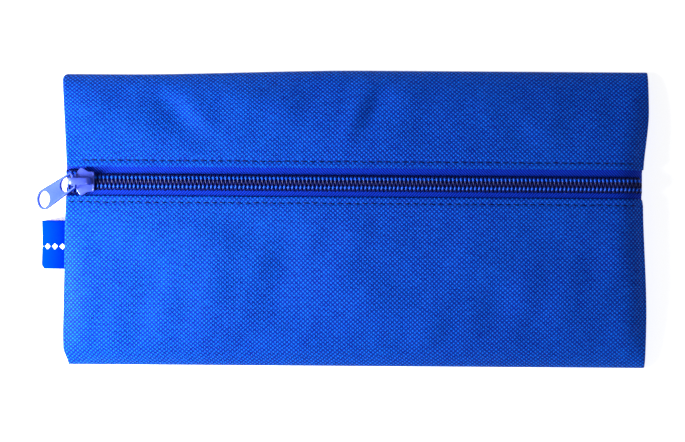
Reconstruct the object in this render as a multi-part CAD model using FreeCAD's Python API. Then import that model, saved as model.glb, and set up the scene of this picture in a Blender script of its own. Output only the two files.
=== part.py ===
"""Flat zipped pencil case: cloth pouch, coil zip, slider and pull tab. Millimetres, +Z up.

The case lies on its back. The origin is on the surface it rests on, +X runs along the zip
away from the slider's closed place and +Y across the pouch, from the deep panel to the
narrow one.
"""
import FreeCAD, Part
import math
import os

# Pouch
BOTTOM_Y = -54.8          # lower folded edge
TOP_Y_LEFT = 54.0         # upper folded edge, at the left corner
TOP_Y_RISE = 2.0          # how much further out it is in the right half
LEFT_X = -107.6           # side seams, where the zip runs into them
RIGHT_X = 107.8
CLOTH = 0.45              # canvas thickness
PLATEAU = 8.9             # how far the front stands above the edge folds
SEAM_GAP = 0.05           # left between the two layers at a fold or seam
EDGE = 2 * CLOTH + SEAM_GAP
FLATTEN = 0.10            # what the back is cut down by where it lies flat
END_RUN = 12.0            # length over which the front rounds down to a side seam
BACK_RUN = 13.0           # length over which the back curls up to it
BACK_CURL = 4             # how late in that length it does: the power of its rise
SEAM_RISE = 3.1           # height of the side seams at mid width
LEFT_ZIP_RISE = 4.6       # what the parked slider adds to the left seam
RIGHT_ZIP_RISE = 0.6
ZIP_SPREAD = 30.0         # how far along the seam that lift spreads
ALLOWANCE = 7.0           # seam allowance, turned inwards
ALLOWANCE_INSET = 11.5    # its middle to the side seam
ALLOWANCE_Z = 0.55
ALLOWANCE_LENGTH = 92.0
OVERLOCK = (0.5, 1.1)     # width and height of the overlock thread round it
OVERLOCK_INSET = 15.3
# Window for the zip
ZIP_Y = 13.5
LOWER_FOLD_Y = 7.7
UPPER_FOLD_Y = 19.2
HEM = 5.0
HEM_ENDS = (-101.0, 104.0)
TOPSTITCH_INSET = 2.35
STITCH_PITCH = 3.1
STITCH_LENGTH = 2.5
THREAD = 0.4
# Zip
TAPE = 0.5
TAPE_Z = 8.1              # mid height of the tape on the level run
TAPE_INNER = 0.45         # tape edge to the zip's centre line
TAPE_WIDTH = 8.0
ZIP_END = 1.2             # the zip stops this far inside the side seams
COIL_PITCH = 1.5
COIL_HALF = 2.5
COIL_LOW = 0.3            # coil's underside and top above the tape's mid height
COIL_HIGH = 2.2
TOOTH_REACH = 0.75        # how far a tooth passes the centre line
TOOTH_CORNER = 0.55       # and how far its shoulders do
TOOTH_WIDTH = 0.62
SPINE_EDGE = 0.95
CORD_INNER = 1.2          # core cord, from the centre line and above the tape's mid height
CORD_OUTER = 2.0
CORD_LOW = 0.9
CORD_HIGH = 1.6
SEWING_INNER = 2.55       # row of chain stitches beside the coil
SEWING_OUTER = 2.95
SEWING_LOW = 0.27
SEWING_HIGH = 0.42
DIP = 4.6                 # how far the zip drops to the right seam
LEFT_DIP = 1.2            # and, past the slider, to the left one
LEFT_DIP_X = -104.5
PARTED_X = -100.85        # the two coils are fully parted here, by the slider
JOINED_X = -97.85
PARTING = 1.6
# Slider and pull tab
SLIDER_REAR_X = -96.15
SLIDER_NOSE_X = -105.4
LOWER_NOSE_X = -103.95     # the lower plate is shorter
SHIELD = [(-96.15, 3.65), (-98.2, 3.8), (-99.4, 4.4), (-100.5, 5.0), (-101.3, 4.9),
          (-102.3, 3.0), (-103.0, 1.8), (-104.6, 1.3), (-105.4, 0.7)]
CHANNEL = [(-95.15, 2.75), (-97.6, 2.75), (-100.7, 4.25), (-106.9, 4.25)]
POST = [(-101.35, 0.1), (-102.35, 0.68), (-103.35, 0.68), (-103.85, 0.1)]
PLATE_LOW = (6.7, 7.6)
PLATE_HIGH = (10.4, 11.1)
FLANGE_LOW = 8.65
BRIDGE_REAR_X = -96.9
BRIDGE_FRONT_X = -105.4
BRIDGE_TOP = 15.0
BRIDGE_UNDER = 14.15
BRIDGE_WIDTH = 2.4
REAR_FOOT = 1.6           # thickness of the bridge's two feet
FRONT_FOOT = 0.9
SHOULDER_Z = 13.0         # where the rear foot starts to turn over
CURL_Z = 12.3             # where the front one does
PIVOT = FreeCAD.Vector(-103.2, 14.2, 12.85)
TAB_TILT = 35.0
TAB_SLEW = 25.0
TAB_LENGTH = 21.0         # from the bar's centre to the tip
TAB_THICK = 1.0
TAB_NEAR = 3.15            # half widths at the bar and at the wide end
TAB_FAR = 3.9
BAR_RADIUS = 0.5          # round bar that turns under the bridge
BAR_OVERLAP = 0.25        # how far it runs into the plate on each side
WINDOW_HALF = 2.6
WINDOW_LENGTH = 4.8       # from the bar to where the window's round end starts
HOLE_RADIUS = 3.1
# Label
LABEL_OUT = 8.9
LABEL_Z = 5.0
LABEL_DROP = 1.4          # how far its folded end hangs below the seam
LABEL_HALF = 0.5          # half the height of the folded ribbon
RIBBON = 0.3
LABEL_LOW_Y = -19.0
LABEL_HIGH_Y = -1.0

V = FreeCAD.Vector


def smooth(t):
    t = min(max(t, 0.0), 1.0)
    return t * t * (3 - 2 * t)


def top_y(x):
    return TOP_Y_LEFT + TOP_Y_RISE * smooth((x + 90) / 95)


def left_x(y):
    if y > 17:
        return LEFT_X - 2.4 * ((y - 17) / 36) ** 2
    return LEFT_X - 2.0 * ((17 - y) / 64) ** 1.3


def right_x(y):
    if y > 12:
        return RIGHT_X + 2.2 * ((y - 12) / 43) ** 2
    return RIGHT_X + 1.2 * ((12 - y) / 67) ** 0.8


def fullness(v):
    """Cross profile, 0 at the two folds and 1 over most of the width; v runs from 0 to 1."""
    return max(1 - abs(2 * v - 1) ** 4, 0.0) ** 0.75


def seam_height(side, v, y):
    rise = LEFT_ZIP_RISE if side < 0 else RIGHT_ZIP_RISE
    near_zip = math.exp(-(((y - ZIP_Y) / ZIP_SPREAD) ** 2))
    return EDGE + (SEAM_RISE + rise * near_zip) * fullness(v)


def end_share(x, y, run):
    """0 on the level middle, 1 at the side seam, and which side it is."""
    side = -1 if x < 0 else 1
    edge = left_x(y) if side < 0 else right_x(y)
    return side, max(0.0, 1 - abs(edge - x) / run)


def front_z(x, y, v):
    side, t = end_share(x, y, END_RUN)
    level = EDGE + PLATEAU * fullness(v)
    return level + (seam_height(side, v, y) - level) * t ** 2.5


def back_z(x, y, v):
    side, t = end_share(x, y, BACK_RUN)
    return (seam_height(side, v, y) - EDGE) * t ** BACK_CURL


def grid(low, high, height):
    """Points of a surface between the lines y = low(x) and y = high(x), as rows along X."""
    columns = [0.5 - 0.5 * math.cos(math.pi * i / 36) for i in range(37)]
    rows = []
    for j in range(17):
        row = []
        for u in columns:
            guess = LEFT_X + u * (RIGHT_X - LEFT_X)
            y = low(guess) + (high(guess) - low(guess)) * (0.5 - 0.5 * math.cos(math.pi * j / 16))
            x = left_x(y) + u * (right_x(y) - left_x(y))
            v = (y - BOTTOM_Y) / (top_y(guess) - BOTTOM_Y)
            row.append(V(x, y, height(x, y, min(max(v, 0.0), 1.0))))
        rows.append(row)
    return rows


def sheet_face(rows, drop):
    surface = Part.BSplineSurface()
    surface.interpolate([[p - V(0, 0, drop) for p in row] for row in rows])
    return surface.toShape()


def cloth(low, high, height, lift, thickness=CLOTH):
    """A sheet of canvas: its two faces and the ruled strips round its four edges."""
    rows = grid(low, high, height)
    upper = sheet_face(rows, -lift)
    lower = sheet_face(rows, thickness - lift)
    sides = [Part.makeRuledSurface(a, b) for a, b in zip(upper.Edges, lower.Edges)]
    shell = Part.makeShell([upper, lower] + sides)
    shell.sewShape()
    solid = Part.Solid(Part.Shell(shell.Faces))
    if solid.Volume < 0:
        solid.reverse()
    return solid


def back_panel():
    """The back, with its level part cut to one true plane at the height it rests on."""
    sheet = cloth(lambda x: BOTTOM_Y, top_y, back_z, CLOTH, CLOTH + FLATTEN)
    return sheet.cut(Part.makeBox(260, 140, 5, V(-130, -70, -5)))


def tape_z(x):
    """Mid height of the zip's tape: level, then down to each side seam."""
    right = max(0.0, (x - (RIGHT_X - END_RUN)) / END_RUN) ** 2.2
    left = max(0.0, (LEFT_DIP_X - x) / 3.0) ** 1.5
    return TAPE_Z - DIP * right - LEFT_DIP * left


def band(x0, x1, low, high, y0, y1):
    """A strip that follows the zip's height, from low to high above it and from y0 to y1."""
    bends = [LEFT_DIP_X - 1.0, LEFT_DIP_X] + [RIGHT_X - END_RUN * (1 - k / 6) for k in range(6)]
    stops = [x0] + [x for x in bends if x0 < x < x1] + [x1]
    outline = [V(x, y0, tape_z(x) + low) for x in stops]
    outline += [V(x, y0, tape_z(x) + high) for x in reversed(stops)]
    return Part.Face(Part.makePolygon(outline + outline[:1])).extrude(V(0, y1 - y0, 0))


def parting(x):
    """How far each half of the zip stands off the centre line."""
    return PARTING * smooth((JOINED_X - x) / (JOINED_X - PARTED_X))


def half_plan(side, inner, outer, x0, x1):
    """Plan of a strip of one half of the zip, between two distances from the centre line."""
    stops = [x0] + [PARTED_X + (JOINED_X - PARTED_X) * k / 4 for k in range(5)] + [x1]
    near = [V(x, ZIP_Y + side * (inner + parting(x)), 0) for x in stops]
    far = [V(x, ZIP_Y + side * (outer + parting(x)), 0) for x in reversed(stops)]
    return Part.Face(Part.makePolygon(near + far + near[:1])).extrude(V(0, 0, 20))


def zip_strip(side, inner, outer, low, high):
    x0, x1 = LEFT_X + ZIP_END, RIGHT_X - ZIP_END
    strip = half_plan(side, inner, outer, x0, x1)
    return strip.common(band(x0, x1, low, high, ZIP_Y - 30, ZIP_Y + 30))


def coil(side):
    """One half of the coil as a comb: a spine with a round-nosed tooth for each turn."""
    x0, x1 = LEFT_X + ZIP_END, RIGHT_X - ZIP_END
    shift = 0.0 if side > 0 else COIL_PITCH / 2
    points = [V(x0, ZIP_Y + side * (SPINE_EDGE + parting(x0)), 0)]
    tooth = [(0.0, SPINE_EDGE), (0.13, -TOOTH_CORNER), (0.5, -TOOTH_REACH),
             (0.87, -TOOTH_CORNER), (1.0, SPINE_EDGE)]
    x = x0 + 0.4 + shift
    while x + TOOTH_WIDTH < x1:
        away = parting(x + TOOTH_WIDTH / 2)
        points += [V(x + TOOTH_WIDTH * share, ZIP_Y + side * (reach + away), 0) for share, reach in tooth]
        x += COIL_PITCH
    points.append(V(x1, ZIP_Y + side * SPINE_EDGE, 0))
    stops = [x1] + [JOINED_X + (PARTED_X - JOINED_X) * k / 4 for k in range(5)] + [x0]
    points += [V(s, ZIP_Y + side * (COIL_HALF + parting(s)), 0) for s in stops]
    comb = Part.Face(Part.makePolygon(points + points[:1])).extrude(V(0, 0, 20))
    comb = comb.common(band(x0, x1, COIL_LOW, COIL_HIGH, ZIP_Y - 30, ZIP_Y + 30))
    return comb.cut(core_tunnel(side, 0.03))


def core_tunnel(side, clearance):
    plan = (CORD_INNER - clearance, CORD_OUTER + clearance)
    return zip_strip(side, *plan, CORD_LOW - clearance, CORD_HIGH + clearance)


def topstitch(y, x_start):
    """A row of short threads lying on the canvas beside the fold."""
    stitches = []
    x = x_start
    while x + STITCH_LENGTH < 95:
        v = (y - BOTTOM_Y) / (top_y(x) - BOTTOM_Y)
        z = front_z(x, y, v) + 0.1
        stitches.append(Part.makeCylinder(THREAD / 2, STITCH_LENGTH, V(x, y, z), V(1, 0, 0)))
        x += STITCH_PITCH
    return Part.makeCompound(stitches)


def inset(side, distance):
    """X of a line inside a side seam."""
    return LEFT_X + distance if side < 0 else RIGHT_X - distance


def strip_inside(side, distance, width, height):
    """A straight strip that lies along a side seam, centred on its X and starting at its Z."""
    corner = V(inset(side, distance) - width / 2, -ALLOWANCE_LENGTH / 2, ALLOWANCE_Z)
    return Part.makeBox(width, ALLOWANCE_LENGTH, height, corner)


def label():
    """A ribbon folded in two, both ends sewn into the left seam."""
    root, tip = LEFT_X - 0.4, LEFT_X - 0.4 - LABEL_OUT
    outer = [(root, LABEL_HALF), (tip + 1.0, LABEL_HALF - LABEL_DROP), (tip, -LABEL_DROP),
             (tip + 0.9, -LABEL_HALF - LABEL_DROP), (root, -LABEL_HALF)]
    gap = LABEL_HALF - RIBBON
    inner = [(root, gap), (tip + 1.05, gap - LABEL_DROP), (tip + 0.55, -LABEL_DROP),
             (tip + 1.0, -gap - LABEL_DROP), (root, -gap)]
    points = [V(x, LABEL_LOW_Y, LABEL_Z + z) for x, z in outer + list(reversed(inner)) + outer[:1]]
    return Part.Face(Part.makePolygon(points)).extrude(V(0, LABEL_HIGH_Y - LABEL_LOW_Y, 0))


def slider_plan(points):
    """Closed plan from one side's outline, mirrored about the zip's centre line."""
    near = [V(x, ZIP_Y + w, 0) for x, w in points]
    far = [V(x, ZIP_Y - w, 0) for x, w in reversed(points) if w > 0]
    return Part.Face(Part.makePolygon(near + far + near[:1]))


def slice_of(plan, low, high):
    """The solid of a plan between two heights."""
    solid = plan.extrude(V(0, 0, high - low))
    solid.translate(V(0, 0, low))
    return solid


def slider():
    """Two plates joined by the post that parts the coils, two flanges and the bridge."""
    shield = slider_plan(SHIELD)
    lower = slice_of(shield, *PLATE_LOW)
    lower = lower.common(Part.makeBox(20, 20, 20, V(LOWER_NOSE_X, ZIP_Y - 10, 0)))
    upper = slice_of(shield, *PLATE_HIGH)
    flanges = slice_of(shield, FLANGE_LOW, PLATE_HIGH[0] + 0.1).cut(slice_of(slider_plan(CHANNEL), 0, 20))
    post = slice_of(slider_plan(POST), PLATE_LOW[0], PLATE_HIGH[1])
    return lower.fuse([upper, flanges, post, bridge()]).removeSplitter()


def bridge():
    """The arch that holds the tab: a rear foot, a level crown and a nose that curls down."""
    rear, front, low = BRIDGE_REAR_X, BRIDGE_FRONT_X, PLATE_HIGH[1] - 0.1
    inner_rear = rear - REAR_FOOT
    inner_front = front + 0.2 + FRONT_FOOT
    corners = [
        (rear, low), (rear, SHOULDER_Z), (rear - 1.8, BRIDGE_TOP), (front + 2.1, BRIDGE_TOP),
        (front, CURL_Z), (front + 0.2, low), (inner_front, low), (inner_front, CURL_Z + 0.1),
        (inner_front + 1.3, BRIDGE_UNDER), (inner_rear - 1.1, BRIDGE_UNDER), (inner_rear, SHOULDER_Z - 0.1),
        (inner_rear, low),
    ]
    bends = {1: (rear - 0.5, 14.4), 3: (front + 0.5, 13.9),
             7: (inner_front + 0.4, 13.7), 9: (inner_rear - 0.3, 13.8)}
    y = ZIP_Y - BRIDGE_WIDTH / 2
    edges = []
    for k, (start, end) in enumerate(zip(corners, corners[1:] + corners[:1])):
        start, end = V(start[0], y, start[1]), V(end[0], y, end[1])
        if k in bends:
            edges.append(Part.Arc(start, V(bends[k][0], y, bends[k][1]), end))
        else:
            edges.append(Part.LineSegment(start, end))
    side = Part.Face(Part.Wire([e.toShape() for e in edges]))
    return side.extrude(V(0, BRIDGE_WIDTH, 0))


def pull_tab():
    """A plate with a window round the bridge, a round bar under it and a hole at its tip."""
    tip = TAB_LENGTH - TAB_FAR
    edges = [
        Part.LineSegment(V(0, TAB_NEAR, 0), V(-tip, TAB_FAR, 0)),
        Part.Arc(V(-tip, TAB_FAR, 0), V(-TAB_LENGTH, 0, 0), V(-tip, -TAB_FAR, 0)),
        Part.LineSegment(V(-tip, -TAB_FAR, 0), V(0, -TAB_NEAR, 0)),
        Part.LineSegment(V(0, -TAB_NEAR, 0), V(0, TAB_NEAR, 0)),
    ]
    plate = Part.Face(Part.Wire([e.toShape() for e in edges])).extrude(V(0, 0, TAB_THICK))
    window = Part.makeBox(WINDOW_LENGTH, 2 * WINDOW_HALF, TAB_THICK, V(-WINDOW_LENGTH, -WINDOW_HALF, 0))
    window_end = Part.makeCylinder(WINDOW_HALF, TAB_THICK, V(-WINDOW_LENGTH, 0, 0))
    hole = Part.makeCylinder(HOLE_RADIUS, TAB_THICK, V(-tip, 0, 0))
    plate = plate.cut([window, window_end, hole])
    plate.translate(V(0, 0, -TAB_THICK / 2))
    reach = WINDOW_HALF + BAR_OVERLAP
    bar = Part.makeCylinder(BAR_RADIUS, 2 * reach, V(0, -reach, 0), V(0, 1, 0))
    tab = plate.fuse(bar)
    tab.rotate(V(0, 0, 0), V(0, 0, 1), TAB_SLEW)
    tab.rotate(V(0, 0, 0), V(0, 1, 0), -TAB_TILT)
    tab.translate(PIVOT)
    return tab


def parts():
    yield "back_panel", back_panel()
    yield "front_lower_panel", cloth(lambda x: BOTTOM_Y, lambda x: LOWER_FOLD_Y, front_z, 0)
    yield "front_upper_panel", cloth(lambda x: UPPER_FOLD_Y, top_y, front_z, 0)
    yield "lower_hem", band(*HEM_ENDS, 0.27, 0.6, LOWER_FOLD_Y - HEM, LOWER_FOLD_Y)
    yield "upper_hem", band(*HEM_ENDS, 0.27, 0.6, UPPER_FOLD_Y, UPPER_FOLD_Y + HEM)
    yield "topstitch_lower", topstitch(LOWER_FOLD_Y - TOPSTITCH_INSET, -104.0)
    yield "topstitch_upper", topstitch(UPPER_FOLD_Y + TOPSTITCH_INSET, -101.0)
    for name, side in (("left", -1), ("right", 1)):
        yield f"seam_allowance_{name}", strip_inside(side, ALLOWANCE_INSET, ALLOWANCE, 2 * CLOTH)
        yield f"overlock_thread_{name}", strip_inside(side, OVERLOCK_INSET, *OVERLOCK)
    yield "label_loop", label()
    for name, side in (("upper", 1), ("lower", -1)):
        yield f"zip_tape_{name}", zip_strip(side, TAPE_INNER, TAPE_WIDTH, -TAPE / 2, TAPE / 2)
        yield f"zip_coil_{name}", coil(side)
        yield f"core_cord_{name}", core_tunnel(side, 0.0)
        yield f"coil_stitching_{name}", zip_strip(side, SEWING_INNER, SEWING_OUTER, SEWING_LOW, SEWING_HIGH)
    yield "slider_body", slider()
    yield "pull_tab", pull_tab()


os.makedirs("parts", exist_ok=True)
for node, shape in parts():
    shape.exportStep(f"parts/{node}.step")
    box = shape.BoundBox
    print(f"{node:24s} valid={shape.isValid()} solids={len(shape.Solids)} volume={shape.Volume:.1f}",
          f"x {box.XMin:.1f}..{box.XMax:.1f} y {box.YMin:.1f}..{box.YMax:.1f}",
          f"z {box.ZMin:.2f}..{box.ZMax:.2f}")
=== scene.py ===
# %% [markdown]
# # A flat zipped pencil case
# The case is one length of coarse blue canvas folded into a pouch, with a coil zip let into its
# front, a slider parked at the left seam, a pull tab that hangs over the edge, and a ribbon
# label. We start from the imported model: it fixes every size and every moving body, and the
# pieces made here stand where its parts stand.

# %% Load the frame
import math

import bmesh
import bpy
import numpy as np
from mathutils import Matrix, Vector


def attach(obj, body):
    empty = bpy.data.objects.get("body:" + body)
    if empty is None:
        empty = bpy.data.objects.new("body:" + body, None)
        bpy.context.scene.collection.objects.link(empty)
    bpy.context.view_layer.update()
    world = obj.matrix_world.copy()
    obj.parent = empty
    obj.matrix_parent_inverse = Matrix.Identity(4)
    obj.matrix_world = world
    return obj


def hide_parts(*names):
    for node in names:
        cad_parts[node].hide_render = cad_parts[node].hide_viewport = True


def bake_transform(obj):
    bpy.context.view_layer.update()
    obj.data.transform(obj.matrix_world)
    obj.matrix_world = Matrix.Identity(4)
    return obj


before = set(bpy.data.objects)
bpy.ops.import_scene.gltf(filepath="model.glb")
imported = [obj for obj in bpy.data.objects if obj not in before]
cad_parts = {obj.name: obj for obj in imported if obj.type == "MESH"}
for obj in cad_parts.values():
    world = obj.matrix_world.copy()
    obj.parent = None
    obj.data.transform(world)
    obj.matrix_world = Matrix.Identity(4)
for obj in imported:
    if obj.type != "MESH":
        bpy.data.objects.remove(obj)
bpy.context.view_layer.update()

MM = 0.001

# %% [markdown]
# ## The camera
# The case is seen from straight above with a slight turn of the camera. A long lens would
# flatten the hanging tab, so the camera stands half a metre away and keeps some perspective.

# %% Camera
DISTANCE = 0.50
VIEW_WIDTH = 0.2569
SCALE_PLANE = 2.5 * MM          # the view is exactly that wide at this height
SENSOR = 36.0
camera_data = bpy.data.cameras.new("camera")
camera_data.sensor_width = SENSOR
camera_data.lens = SENSOR * DISTANCE / VIEW_WIDTH
camera_data.clip_start = 0.01
camera = bpy.data.objects.new("camera", camera_data)
camera.location = (-0.0045, -0.0004, DISTANCE + SCALE_PLANE)
camera.rotation_euler = (0.0, 0.0, math.radians(0.39))
bpy.context.scene.collection.objects.link(camera)
bpy.context.scene.camera = camera
print("lens in mm", round(camera_data.lens, 2), "view width in mm", round(VIEW_WIDTH / MM, 1))

# %% [markdown]
# ## The room and its lamps
# A white room over a pale floor gives the even light of a studio table. Three lamps add to it.
# The key lamp is low at the left, so the left of the cloth is lighter than the right and every
# thread has a lit side. A second one, lower still, picks out the left seam like a window. A
# weak and wider one from the right keeps the shadows open.

# %% Room and lamps
ROOM_STRENGTH = 0.22
scene = bpy.context.scene
scene.view_settings.view_transform = "Standard"
world = bpy.data.worlds.new("studio")
world.use_nodes = True
world.node_tree.nodes["Background"].inputs["Color"].default_value = (1.0, 1.0, 1.0, 1.0)
world.node_tree.nodes["Background"].inputs["Strength"].default_value = ROOM_STRENGTH
scene.world = world


def lamp(name, place, aim, size, power):
    """A round lamp of that width in metres and power in watts, turned to face its aim."""
    data = bpy.data.lights.new(name, "AREA")
    data.shape = "DISK"
    data.size = size
    data.energy = power
    obj = bpy.data.objects.new(name, data)
    obj.location = place
    obj.rotation_euler = (Vector(aim) - Vector(place)).to_track_quat("-Z", "Y").to_euler()
    scene.collection.objects.link(obj)


lamp("key", (-0.27, -0.05, 0.16), (-0.02, 0.0, 0.0), 0.12, 2.0)
lamp("window", (-0.205, -0.045, 0.075), (-0.10, -0.01, 0.0), 0.05, 0.14)
lamp("fill", (0.34, -0.25, 0.60), (0.0, 0.0, 0.0), 0.3, 1.0)

# %% [markdown]
# ## Working with arrays
# Every cloth and metal surface here is a grid: a function of two parameters worked out for
# all points at once. One helper turns such a grid into a mesh, with a UV map in metres, so
# that a weave keeps its real size on any piece.

# %% A mesh from a grid


def quad_mesh(name, points, quads):
    """A smooth mesh from points in metres and the four point numbers of each face."""
    mesh = bpy.data.meshes.new(name)
    mesh.vertices.add(points.size // 3)
    mesh.vertices.foreach_set("co", points.astype(np.float32).ravel())
    mesh.loops.add(quads.size)
    mesh.loops.foreach_set("vertex_index", quads.astype(np.int32).ravel())
    mesh.polygons.add(len(quads))
    mesh.polygons.foreach_set("loop_start", np.arange(0, quads.size, 4, dtype=np.int32))
    mesh.polygons.foreach_set("use_smooth", np.ones(len(quads), bool))
    return mesh


def grid_mesh(name, points, uv=None, flip=False):
    """A sheet from points[row, column]: each face joins (i, j), (i, j+1), (i+1, j+1), (i+1, j)."""
    rows, cols = points.shape[:2]
    i = np.arange(rows - 1)[:, None]
    j = np.arange(cols - 1)[None, :]
    ring = [(i, j), (i, j + 1), (i + 1, j + 1), (i + 1, j)]
    if flip:
        ring = ring[::-1]
    quads = np.stack([a * cols + b for a, b in ring], axis=-1).reshape(-1, 4)
    mesh = quad_mesh(name, points, quads)
    if uv is not None:
        layer = mesh.uv_layers.new(name="cloth")
        layer.data.foreach_set("uv", uv.reshape(-1, 2)[quads.ravel()].astype(np.float32).ravel())
    mesh.update(calc_edges=True)
    mesh.validate()
    return mesh


def piece(name, mesh, material, body=None, thickness=0.0):
    """An object at the origin, with its material, its body and, for cloth, its thickness."""
    obj = bpy.data.objects.new(name, mesh)
    scene.collection.objects.link(obj)
    mesh.materials.append(material)
    if thickness:
        solid = obj.modifiers.new("thickness", "SOLIDIFY")
        solid.thickness = thickness
        solid.offset = 0.0
        solid.use_even_offset = False
    if body:
        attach(obj, body)
    return obj


def tube(path, radius, sides):
    """Rings of a tube round path[strand, point]: centre + radius times (across cos turn + up sin
    turn). A radius of nothing at its ends closes a strand."""
    ahead = np.gradient(path, axis=1)
    ahead /= np.linalg.norm(ahead, axis=2, keepdims=True) + 1e-12
    up = np.zeros_like(ahead)
    up[..., 2] = 1.0
    up[np.abs(ahead[..., 2]) > 0.95] = (0.0, 1.0, 0.0)
    across = np.cross(ahead, up)
    across /= np.linalg.norm(across, axis=2, keepdims=True)
    up = np.cross(across, ahead)
    turn = np.linspace(0, 2 * np.pi, sides, endpoint=False)
    ring = across[:, :, None] * np.cos(turn)[:, None] + up[:, :, None] * np.sin(turn)[:, None]
    size = np.broadcast_to(np.asarray(radius, float), path.shape[:2])[:, :, None, None]
    return path[:, :, None] + ring * size


def strands_mesh(name, rings):
    """One mesh of many closed tubes, from rings[strand, point, side]."""
    count, points, sides = rings.shape[:3]
    start = np.arange(count)[:, None, None] * points * sides
    i = np.arange(points - 1)[None, :, None] * sides
    j = np.arange(sides)[None, None, :]
    k = (j + 1) % sides
    corners = [start + i + j, start + i + k, start + i + sides + k, start + i + sides + j]
    mesh = quad_mesh(name, rings, np.stack(corners, axis=-1).reshape(-1, 4))
    mesh.update(calc_edges=True)
    merge(mesh)
    return mesh


def merge(mesh, distance=1e-6):
    """Joins points that coincide and turns the faces outwards."""
    edit = bmesh.new()
    edit.from_mesh(mesh)
    bmesh.ops.remove_doubles(edit, verts=edit.verts, dist=distance)
    bmesh.ops.dissolve_degenerate(edit, edges=edit.edges, dist=distance / 2)
    bmesh.ops.recalc_face_normals(edit, faces=edit.faces)
    edit.to_mesh(mesh)
    edit.free()
    mesh.polygons.foreach_set("use_smooth", np.ones(len(mesh.polygons), bool))


sample_path = np.array([[[0, 0, 0], [1, 0, 0], [2, 0, 0]]], float)
print("a tube on 3 points with 6 sides: strands, points, sides, xyz", tube(sample_path, 0.5, 6).shape)

# %% [markdown]
# ## Shader arithmetic
# A weave is mostly arithmetic on coordinates. Writing it as Python expressions keeps it
# readable: a small class holds a socket, and each operator adds one Math node.

# %% Sockets that can be added and multiplied


class Value:
    """A shader socket that carries a number; arithmetic on it adds Math nodes."""

    def __init__(self, maker, socket):
        self.maker = maker
        self.socket = socket

    def math(self, operation, *others):
        """The named Math operation on this value and the others."""
        inputs = dict(enumerate((self,) + others))
        return self.maker.node("ShaderNodeMath", {"operation": operation}, inputs)

    def __add__(self, other):
        return self.math("ADD", other)

    __radd__ = __add__

    def __sub__(self, other):
        return self.math("SUBTRACT", other)

    def __rsub__(self, other):
        return self.maker.node("ShaderNodeMath", {"operation": "SUBTRACT"}, {0: other, 1: self})

    def __mul__(self, other):
        return self.math("MULTIPLY", other)

    __rmul__ = __mul__

    def __truediv__(self, other):
        return self.math("DIVIDE", other)


class Finish:
    """Builds one material's nodes around its Principled shader."""

    def __init__(self, name, **fixed):
        self.material = bpy.data.materials.new(name)
        self.material.use_nodes = True
        self.tree = self.material.node_tree
        self.shader = self.tree.nodes["Principled BSDF"]
        for socket, value in fixed.items():
            self.shader.inputs[socket.replace("_", " ")].default_value = value

    def node(self, kind, settings=None, inputs=None, out=0):
        """One node of that type: its settings first, then the values or links of its sockets."""
        made = self.tree.nodes.new(kind)
        for key, value in (settings or {}).items():
            setattr(made, key, value)
        for key, value in (inputs or {}).items():
            if isinstance(value, Value):
                self.tree.links.new(value.socket, made.inputs[key])
            else:
                made.inputs[key].default_value = value
        return Value(self, made.outputs[out])

    def feed(self, socket, value):
        """Links a value to one of the Principled shader's sockets."""
        self.tree.links.new(value.socket, self.shader.inputs[socket])

    def uv(self):
        return self.node("ShaderNodeUVMap", {"uv_map": "cloth"})

    def place(self):
        return self.node("ShaderNodeTexCoord", out="Object")

    def parts(self, vector):
        """The first two numbers of a vector."""
        return [self.node("ShaderNodeSeparateXYZ", None, {0: vector}, out=k) for k in range(2)]

    def noise(self, vector, scale, detail=2.0, stretch=(1.0, 1.0, 1.0)):
        """Cloudy values from 0 to 1; stretch scales the place first."""
        moved = self.node("ShaderNodeMapping", None, {"Vector": vector, "Scale": stretch})
        inputs = {"Vector": moved, "Scale": scale, "Detail": detail}
        return self.node("ShaderNodeTexNoise", None, inputs)

    def mix(self, share, low, high):
        """A colour between two others."""
        return self.node("ShaderNodeMix", {"data_type": "RGBA"}, {0: share, 6: low, 7: high}, out=2)

    def bump(self, height, depth, strength=1.0):
        """Tilts the surface as if it rose by that height times that depth."""
        inputs = {"Height": height, "Distance": depth, "Strength": strength}
        self.feed("Normal", self.node("ShaderNodeBump", None, inputs))


# %% [markdown]
# ## Canvas
# The cloth is a coarse plain weave: thick threads 0.85 mm apart along the case and 0.81 mm
# across it, each going over one and under the next. In every cell of the weave either the
# thread along the case or the one across it is on top, like the squares of a chessboard. The
# floats that lie along the case catch the light, so they are the bright dots of the cloth. The
# colour paints them lighter and the grooves between threads darker: painted light and shade.

# %% Canvas finish
THREAD_X = 0.85 * MM
THREAD_Y = 0.81 * MM


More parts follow.
